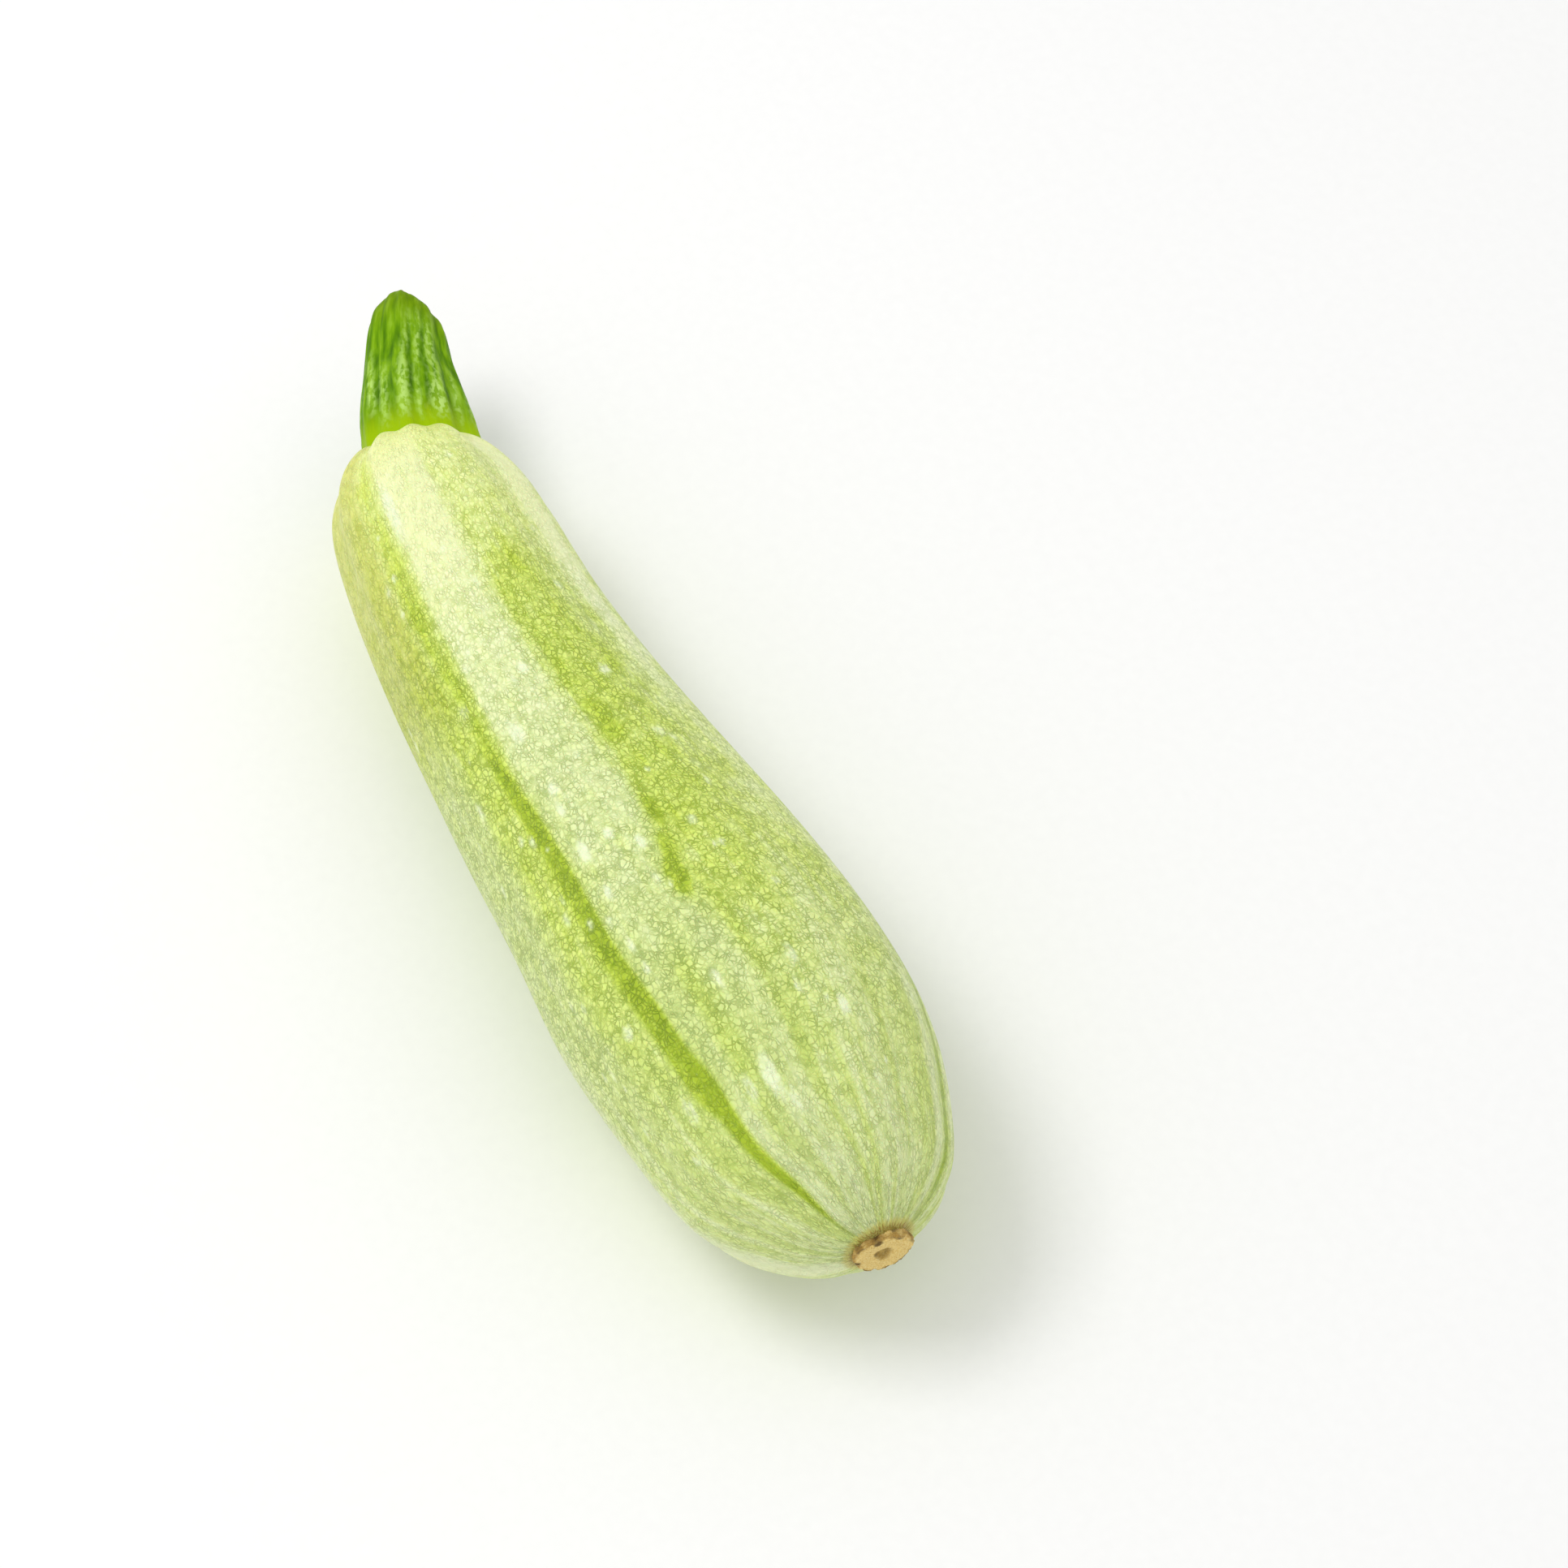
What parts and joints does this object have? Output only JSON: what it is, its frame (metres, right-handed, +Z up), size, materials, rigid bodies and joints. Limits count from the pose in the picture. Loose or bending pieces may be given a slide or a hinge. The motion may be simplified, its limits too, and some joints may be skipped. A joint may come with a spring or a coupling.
{
  "type": "marrow",
  "caption": "Pale green marrow lying down: a slim ribbed fruit, fuller at the blossom end, with a short cut stem and a corky blossom scar.",
  "frame": {"origin": "middle of the whole outline, stem and scar included, on the surface that the marrow lies on", "axes": "+X along the marrow from the stem to the blossom end, +Z up, -Z the flat spot that it lies on"},
  "size_m": [0.2365, 0.0612, 0.0607],
  "materials": {
    "skin": "satin",
    "stem_green": "satin",
    "cork": "matte"
  },
  "bodies": {
    "root": {"fruit": "skin", "stem": "stem_green", "blossom_scar": "cork"}
  },
  "joints": []
}
